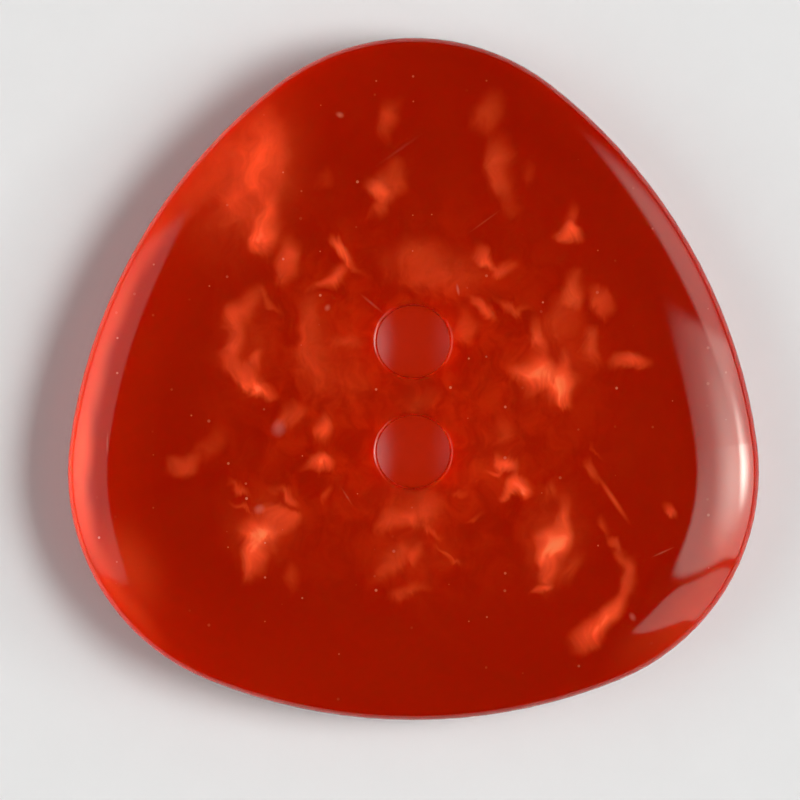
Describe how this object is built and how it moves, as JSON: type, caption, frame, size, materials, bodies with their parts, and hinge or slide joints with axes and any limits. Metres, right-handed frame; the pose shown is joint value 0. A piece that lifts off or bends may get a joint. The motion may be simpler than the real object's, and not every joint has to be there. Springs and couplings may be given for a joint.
{
  "type": "sew-through button",
  "caption": "Rounded-triangle sew-through button of glossy red resin with drifting pearl wisps, a flat front, a broad rolled edge and drilled thread holes.",
  "frame": {"origin": "middle of the outline, on the back face", "axes": "+Z out of the front face, +Y to the upper corner, +X across the two lower corners"},
  "size_m": [0.025, 0.0247, 0.0036],
  "materials": {
    "resin": "polished cast polyester resin, translucent red with orange pearl wisps"
  },
  "bodies": {
    "root": {"button": "resin"}
  },
  "joints": []
}
